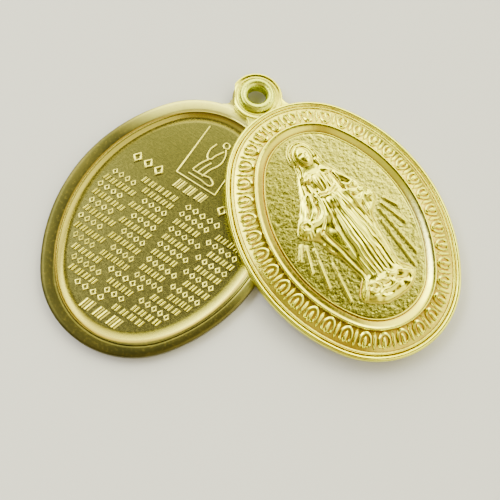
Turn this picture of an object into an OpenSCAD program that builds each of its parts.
// Oval locket of two struck leaves that swing apart on a hollow eyelet.
// Millimetres. The origin is the middle of the eyelet's hole. +Z is up, and the surface that the locket
// lies on is 1.3 mm below the origin. The leaves hang to either side of -Y.
// A leaf is drawn with its oval's centre at the origin and its lug towards +Y, then hung on the eyelet.

/* [Ovals] */
// Length of each oval
oval_length = 26; // [25.82:0.06:26.3]
// Radius of the oval's two ends; its width follows from these two
end_radius = 8.26; // [8.2:0.03:8.32]
// Distance from the eyelet's axis to an oval's centre
hang = 14.92; // [14.8:0.02:15.2]
// Angle of each leaf to its side of the middle, 0 when shut
half_opening = 32.1; // [0:0.1:90]

/* [Back leaf] */
// Height of the back leaf's rim
back_rim_h = 1.0; // [0.9:0.05:1.2]
// Thickness of the back leaf's floor
back_floor_h = 0.55; // [0.45:0.05:0.6]
// Width of the back leaf's rim
back_rim_w = 1.15; // [1.05:0.05:1.3]
// Width of the cove between rim and floor
cove_w = 0.85; // [0.7:0.05:0.95]
// Height of the small marks above the floor
mark_h = 0.13; // [0.08:0.01:0.2]

/* [Front leaf] */
// Clear gap between the leaves
leaf_gap = 0.06; // [0.04:0.01:0.1]
// Height of the front leaf's edge
front_edge_h = 0.8; // [0.7:0.05:0.9]
// Rise of the ornament band from its outer to its inner edge
band_rise = 0.6; // [0.4:0.05:0.7]
// Number of egg forms round the band
egg_count = 36; // [30:2:38]
// Depth of the hollow under the front leaf
hollow_h = 0.5; // [0.3:0.05:0.55]
// Height of the band's ornament
egg_h = 0.22; // [0.12:0.01:0.26]
// Height of the rays
ray_h = 0.14; // [0.1:0.01:0.2]

/* [Lugs and eyelet] */
// Radius of the front leaf's lug
front_lug_r = 2.45; // [2.3:0.05:2.5]
// Radius of the back leaf's lug
back_lug_r = 2.32; // [2.2:0.02:2.4]
// Thickness of each lug
lug_h = 0.45; // [0.4:0.05:0.45]
// Radius of the eyelet's hole
hole_r = 0.85; // [0.8:0.01:0.9]
// Length of the straight part of the eyelet's hole
hole_l = 0.3; // [0.2:0.05:0.3]
// Outer radius of the eyelet's barrel
barrel_r = 1.2; // [1.15:0.01:1.25]
// Outer radius of the eyelet's flared rims
flange_r = 1.78; // [1.7:0.02:1.85]
// Running gap between the eyelet and the lugs
running_gap = 0.04; // [0.02:0.01:0.05]

/* [Hidden] */
$fn = 96;

// The oval is four arcs that meet where their centres line up, on lines that slope 3 in 4, so that all
// their values are short.
half_l = oval_length / 2;
end_centre = half_l - end_radius;
side_centre = end_centre * 4 / 3;
side_radius = end_radius + end_centre * 5 / 3;
join_angle = atan2(4, 3);

// Heights that stack up from the surface that the locket lies on.
front_z = back_rim_h + leaf_gap;
edge_z = front_z + front_edge_h;
band_z = edge_z - 0.14;
ring_z = band_z + band_rise + 0.22;
field_z = band_z + band_rise - 0.07;
back_lug_z = back_rim_h - lug_h;
front_lug_top = front_z + lug_h;
throat_z = front_z + 0.09;
throat_top = throat_z + hole_l;
throat_mid = (throat_z + throat_top) / 2;
sunk = 0.1;

// Distances inside the outline on the front leaf.
band_out = 0.84;
band_in = 2.55;
field_edge = 3.66;
band_mid = (band_out + band_in) / 2;
band_slope = atan2(band_rise, band_in - band_out);

// Points of an arc in a section, centre [x, z], from one angle to the other, to the nearest 0.001.
function short(v) = round(v * 1000) / 1000;
function arc(x, z, r, from, to, steps = 6) =
    [for (i = [0:steps])
        let (a = from + (to - from) * i / steps)
        [short(x + r * cos(a)), short(z + r * sin(a))]];

// A point w inside the outline, where the outline's normal stands at angle a.
function on_oval(w, a) =
    let (at_end = abs(sin(a)) > cos(join_angle))
    let (centre = at_end ? [0, sign(sin(a)) * end_centre] : [-sign(cos(a)) * side_centre, 0])
    let (r = (at_end ? end_radius : side_radius) - w)
    centre + r * [cos(a), sin(a)];

// The normal's angle at share s of the way round, w inside the outline.
function angle_at(w, s) =
    let (side_l = (side_radius - w) * (90 - join_angle), end_l = (end_radius - w) * join_angle)
    let (quarter = floor(4 * s), t = 4 * s - quarter, back = quarter % 2 == 1)
    let (along = (back ? 1 - t : t) * (side_l + end_l))
    let (a = along < side_l ? along / (side_radius - w)
                            : 90 - join_angle + (along - side_l) / (end_radius - w))
    back ? 90 * (quarter + 1) - a : 90 * quarter + a;

// One of the oval's arcs as a solid: the section turned to a disc, and the slice of it between the two joins.
module slice(radius, section, edge) {
    last = section[len(section) - 1];
    rim = [for (p = section) [radius - p[0], p[1]]];
    intersection() {
        rotate(180) rotate_extrude() polygon(concat([[0, section[0][1]]], rim, [[0, last[1]]]));
        translate([0, 0, -1]) linear_extrude(6) polygon(edge);
    }
}

module oval_plate(section) {
    for (side = [1, -1]) {
        translate([0, side * end_centre, 0])
            slice(end_radius, section, side * [[0, 0], [12, 9], [12, 20], [-12, 20], [-12, 9]]);
        translate([-side * side_centre, 0, 0])
            slice(side_radius, section, side * [[0, 0], [24, -18], [24, 18]]);
    }
}

// Hangs a leaf on the eyelet and turns it to its side.
module hung(turn) {
    rotate(turn) translate([0, -hang, -throat_mid]) children();
}

// Back leaf: the tray.
cove_top = back_rim_h - 0.14;
cove_fall = cove_top - back_floor_h;
cove_r = (cove_w * cove_w + cove_fall * cove_fall) / (2 * cove_fall);
floor_edge = back_rim_w + 0.05 + cove_w;
back_section = concat(
    arc(0.25, 0.25, 0.25, 270, 180),
    arc(0.3, back_rim_h - 0.36, 0.3, 180, 110),
    arc(0.68, back_rim_h - 1.5, 1.5, 106, 73),
    arc(floor_edge, back_floor_h + cove_r, cove_r, 180 + acos(cove_w / cove_r), 270)
);

// Rows of marks on the floor: height above the oval's centre, half the row's length, height of a mark,
// marks in each group.
ROW_Y = 0;
ROW_HALF = 1;
ROW_H = 2;
ROW_GROUPS = 3;
mark_rows = [
    [3.6, 6.4, 1.05, [3, 3, 3]],
    [2.16, 4.3, 0.66, [5, 5]],
    [1.3, 7.0, 0.62, [4, 5, 5, 4]],
    [0.43, 7.3, 0.62, [5, 4, 4, 5]],
    [-0.43, 7.4, 0.62, [4, 5, 5, 4]],
    [-1.27, 7.3, 0.62, [5, 4, 4, 5]],
    [-2.12, 7.1, 0.62, [4, 5, 5, 4]],
    [-2.96, 7.0, 0.62, [5, 4, 4, 5]],
    [-3.82, 7.0, 0.62, [4, 5, 5, 4]],
    [-4.7, 6.7, 0.62, [5, 4, 4, 5]],
    [-5.55, 6.3, 0.62, [4, 5, 5, 4]],
    [-6.4, 5.7, 0.62, [4, 5, 4]],
    [-7.25, 5.2, 0.62, [5, 4, 5]],
    [-8.08, 4.8, 0.62, [4, 3, 4]],
    [-8.9, 3.65, 0.62, [4, 4]],
    [-10.05, 2.1, 1.05, [3]]
];

function sum(v, n) = n == 0 ? 0 : v[n - 1] + sum(v, n - 1);

// Lozenges and slanted dashes take turns from group to group.
module mark(h, pitch, slanted) {
    w = pitch * 0.36;
    lean = slanted ? 0.14 * h : 0;
    lozenge = [[-w, 0], [0, -h / 2], [w, 0], [0, h / 2]];
    dash = [[-w / 2 - lean, -h / 2], [w / 2 - lean, -h / 2], [w / 2 + lean, h / 2], [-w / 2 + lean, h / 2]];
    linear_extrude(mark_h + sunk) polygon(slanted ? dash : lozenge);
}

module mark_row(row, number) {
    groups = row[ROW_GROUPS];
    slots = sum(groups, len(groups)) + len(groups) - 1;
    pitch = 2 * row[ROW_HALF] / slots;
    for (k = [0:len(groups) - 1], i = [0:groups[k] - 1])
        translate([pitch * (sum(groups, k) + k + i + 0.5) - row[ROW_HALF], row[ROW_Y], back_floor_h - sunk])
            mark(row[ROW_H], pitch, (k + number) % 2 == 1);
}

// A raised line through points, with round ends.
module line(points, width, height) {
    for (i = [1:len(points) - 1]) {
        a = points[i - 1];
        step = points[i] - a;
        translate([a[0], a[1], back_floor_h - sunk])
            rotate(atan2(step[1], step[0]))
                linear_extrude(height + sunk)
                    translate([0, -width / 2]) square([norm(step), width]);
        translate([points[i][0], points[i][1], back_floor_h - sunk])
            cylinder(h = height + sunk, d = width);
    }
}

// A small kneeling figure in outline at a low bench, inside three sides of a frame.
kneeler_lines = [
    [[-0.55, 8.9], [-0.75, 7.9], [-0.3, 7.2], [0.1, 8.0], [0.55, 8.6]],
    [[0.5, 8.9], [0.85, 8.2], [0.75, 7.2], [0.35, 6.3], [0.1, 5.4]],
    [[-0.3, 7.2], [-0.75, 6.4], [-1.0, 5.5]],
    [[-1.15, 5.0], [1.35, 5.15], [1.0, 5.6], [-0.95, 5.45], [-1.15, 5.0]]
];

module kneeler() {
    line([[-2.1, 10.1], [-2.1, 4.45], [2.1, 4.5], [2.1, 6.6]], 0.14, mark_h);
    for (points = kneeler_lines) line(points, 0.16, mark_h);
    translate([0.35, 9.3, back_floor_h - sunk]) cylinder(h = mark_h + sunk, r = 0.36);
}

module back_leaf() {
    color("darkkhaki") hung(-half_opening) difference() {
        union() {
            oval_plate(back_section);
            translate([0, hang, back_lug_z]) cylinder(h = lug_h - 0.03, r = back_lug_r);
            translate([-1.78, hang - 1.5, back_lug_z]) cylinder(h = lug_h - 0.08, r = 0.2);
            for (n = [0:len(mark_rows) - 1]) mark_row(mark_rows[n], n);
            kneeler();
        }
        translate([0, hang, back_lug_z - sunk]) cylinder(h = lug_h + 2 * sunk, r = barrel_r + running_gap);
    }
}

// Front leaf: the domed medal. Two beads, the sloping band, the ring and the field, from outside in.
front_section = concat(
    arc(0.2, front_z + 0.2, 0.2, 270, 180, 4),
    arc(0.22, edge_z - 0.22, 0.22, 180, 30, 5),
    arc(0.66, edge_z - 0.19, 0.13, 150, 30, 3),
    [[band_out, band_z], [band_in, band_z + band_rise]],
    arc(2.68, ring_z - 0.13, 0.13, 180, 30, 4),
    arc(2.95, ring_z - 0.45, 0.36, 100, 40, 3),
    arc(3.56, field_z + 0.04, 0.07, 150, 30, 2),
    [[field_edge, field_z]]
);

// The underside is hollow inside a flat edge, as the metal follows the dome.
hollow_section = [
    [1.05, front_z - sunk],
    [1.05, front_z + 0.04],
    [1.4, front_z + hollow_h * 0.4],
    [2.6, front_z + hollow_h * 0.85],
    [4.2, front_z + hollow_h]
];

module egg() {
    linear_extrude(egg_h + sunk)
        polygon([for (i = [0:11]) [0.74 * cos(30 * i), 0.36 * sin(30 * i)]]);
}

module dart() {
    linear_extrude(egg_h * 0.8 + sunk) polygon([[0.76, 0.18], [0.76, -0.18], [-0.76, 0]]);
}

module band_ornament() {
    for (i = [0:2 * egg_count - 1]) {
        a = angle_at(band_mid, (i + 0.5) / (2 * egg_count));
        p = on_oval(band_mid, a);
        translate([p[0], p[1], band_z + band_rise / 2])
            rotate([0, 0, a])
                rotate([0, band_slope, 0])
                    translate([0, 0, -sunk])
                        if (i % 2 == 0) egg(); else dart();
    }
}

// Rays from the hands: start x, start y, end x, end y.
rays = [
    [-4.55, 0.35, -5.55, -1.1],
    [-4.3, 0, -5.2, -2.5],
    [-3.8, -0.6, -4.6, -4.4],
    [-3.1, -2.5, -3.6, -6.3],
    [4.4, 0.4, 5.3, -1.2],
    [3.95, 0, 5.0, -2.9],
    [3.5, -0.3, 4.2, -5.6],
    [3.0, -1.4, 3.3, -6.4]
];

module ray(r) {
    reach = [r[2] - r[0], r[3] - r[1]];
    translate([r[0], r[1], field_z - sunk])
        rotate(atan2(reach[1], reach[0]))
            linear_extrude(ray_h + sunk)
                polygon([[0, -0.07], [norm(reach), -0.17], [norm(reach), 0.17], [0, 0.07]]);
}

// The figure's outline, from the crown of the veil down to the globe under its feet: y, left x, right x.
outline = [
    [8.95, -0.3, 0.3],
    [8.6, -0.95, 0.95],
    [8.0, -1.35, 1.4],
    [7.2, -1.48, 1.5],
    [6.4, -1.35, 1.4],
    [5.9, -1.5, 1.55],
    [5.3, -1.95, 2.0],
    [4.5, -2.3, 2.35],
    [3.5, -2.75, 2.8],
    [2.5, -3.35, 3.35],
    [1.7, -4.1, 4.0],
    [0.9, -4.4, 4.3],
    [0.2, -4.0, 4.0],
    [-0.4, -3.0, 3.1],
    [-1.5, -2.65, 2.75],
    [-3.0, -2.25, 2.45],
    [-4.5, -1.75, 2.3],
    [-5.2, -1.5, 2.4],
    [-5.7, -2.5, 2.85],
    [-6.6, -2.85, 3.0],
    [-7.4, -2.2, 2.5],
    [-7.9, -1.1, 1.6],
    [-8.1, -0.3, 0.7]
];

// The figure's swelling forms: x, y, half width, half length, height, lean.
forms = [
    [0, 7.4, 1.5, 1.75, 0.5, 0],
    [0.02, 7.2, 0.8, 1.1, 0.78, 0],
    [0, 5.0, 1.7, 1.5, 0.55, 0],
    [0.05, 4.1, 1.4, 1.9, 0.62, 0],
    [-2.35, 3.7, 0.8, 2.4, 0.66, -32],
    [2.4, 3.7, 0.8, 2.4, 0.66, 32],
    [-3.35, 1.6, 1.1, 1.7, 0.4, -12],
    [3.35, 1.6, 1.05, 1.7, 0.4, 12],
    [-3.75, 0.75, 0.5, 0.62, 0.66, -20],
    [3.75, 0.75, 0.5, 0.6, 0.66, 20],
    [0.1, 3.15, 1.3, 0.4, 0.72, 0],
    [0.15, -1.2, 2.1, 5.6, 0.6, 2],
    [-1.95, -2.1, 0.5, 3.4, 0.62, 12],
    [2.3, -2.2, 0.48, 3.4, 0.56, -1],
    [-0.35, -5.35, 0.42, 0.5, 0.72, 15],
    [0.6, -5.4, 0.42, 0.5, 0.7, -12],
    [0.2, -6.6, 2.9, 1.6, 0.5, 0]
];

function form_height(f, x, y) =
    let (dx = x - f[0], dy = y - f[1])
    let (across = (dx * cos(f[5]) + dy * sin(f[5])) / f[2], along = (dy * cos(f[5]) - dx * sin(f[5])) / f[3])
    let (e = across * across + along * along)
    e < 1 ? f[4] * pow(1 - e, 0.4) : 0;

// Folds run down the robe from the belt to the feet, and spread a little on the way.
fold_pitch = 0.72;
fold_h = 0.12;

function robe_fold(x, y) =
    let (spread = 1 + 0.05 * (1 - y), across = (x - 0.15) / spread)
    y < 2.9 && y > -5.0 && abs(across) < 1.9 ? fold_h * cos(360 * across / fold_pitch) : 0;

function relief(x, y) = 0.14 + max([for (f = forms) form_height(f, x, y)]) + robe_fold(x, y);

// Left and right edge of the figure at height y, between the rows of its outline.
function edge_x(y, side) = lookup(y, [for (r = outline) [r[0], r[side]]]);

figure_rows = 84;
figure_columns = 44;

module figure() {
    top = outline[0][0];
    foot = outline[len(outline) - 1][0];
    wide = figure_columns + 1;
    ys = [for (i = [0:figure_rows]) top + (foot - top) * i / figure_rows];
    skin = [for (y = ys, j = [0:figure_columns])
        let (left = edge_x(y, 1), right = edge_x(y, 2))
        let (x = left + (right - left) * (1 - cos(180 * j / figure_columns)) / 2)
        let (at_edge = j == 0 || j == figure_columns)
        [x, y, at_edge ? 0 : relief(x, y)]];
    base = [for (y = ys) each [[edge_x(y, 1), y, -sunk], [edge_x(y, 2), y, -sunk]]];
    first_base = len(skin);
    // Corner of the skin, and the left or right corner of the flat base.
    function s(i, j) = i * wide + j;
    function b(i, side) = first_base + 2 * i + side;
    skin_faces = [for (i = [0:figure_rows - 1], j = [0:figure_columns - 1])
        each [[s(i, j), s(i, j + 1), s(i + 1, j + 1)], [s(i, j), s(i + 1, j + 1), s(i + 1, j)]]];
    side_faces = [for (i = [0:figure_rows - 1]) each [
        [b(i, 0), s(i, 0), s(i + 1, 0)], [b(i, 0), s(i + 1, 0), b(i + 1, 0)],
        [s(i, figure_columns), b(i, 1), b(i + 1, 1)],
        [s(i, figure_columns), b(i + 1, 1), s(i + 1, figure_columns)],
        [b(i, 1), b(i, 0), b(i + 1, 0)], [b(i, 1), b(i + 1, 0), b(i + 1, 1)]]];
    head_faces = [concat([b(0, 0), b(0, 1)], [for (j = [figure_columns:-1:0]) s(0, j)])];
    foot_faces = [concat([b(figure_rows, 1), b(figure_rows, 0)],
                         [for (j = [0:figure_columns]) s(figure_rows, j)])];
    translate([0, 0, field_z])
        polyhedron(concat(skin, base), concat(skin_faces, side_faces, head_faces, foot_faces));
}

// The lug of the front leaf is a disc on a short neck, trimmed flat on one side.
module front_lug() {
    trim = 2.12;
    neck = [[-2.38, 0], [2.38, 0], [1.98, -2.6], [-1.98, -2.6]];
    linear_extrude(lug_h) difference() {
        union() {
            circle(r = front_lug_r);
            polygon(neck);
        }
        rotate(-half_opening) translate([-trim - 2, -1]) square([2, 5]);
    }
}

module front_leaf() {
    color("gold") hung(half_opening) difference() {
        union() {
            oval_plate(front_section);
            translate([0, hang, front_z]) front_lug();
            band_ornament();
            for (r = rays) ray(r);
            figure();
        }
        oval_plate(hollow_section);
        translate([0, hang, front_z - sunk]) cylinder(h = lug_h + 2 * sunk, r = barrel_r + running_gap);
    }
}

// Eyelet: a straight throat that flares to a rolled rim above and below the lugs.
rim_low = back_lug_z - running_gap;
rim_high = front_lug_top + running_gap;
eyelet_foot = 0.12;
crest_r = 1.38;
roll_r = flange_r - crest_r;
eyelet_top = throat_top + crest_r - hole_r;

// The flare below the throat widens with the square of the depth.
function flare(t) = [hole_r + (crest_r - hole_r) * t * t, throat_z - (throat_z - eyelet_foot) * t];

eyelet_section = concat(
    [for (i = [8:-1:0]) flare(i / 8)],
    arc(crest_r, throat_top, crest_r - hole_r, 180, 90, 8),
    arc(crest_r, eyelet_top - roll_r, roll_r, 75, 0, 5),
    [[flange_r - 0.05, rim_high], [barrel_r, rim_high], [barrel_r, rim_low]],
    [[flange_r - 0.05, rim_low], [flange_r, rim_low - 0.16], [crest_r + 0.2, eyelet_foot]]
);

module eyelet() {
    color("khaki") translate([0, 0, -throat_mid]) rotate_extrude() polygon(eyelet_section);
}

back_leaf();
front_leaf();
eyelet();
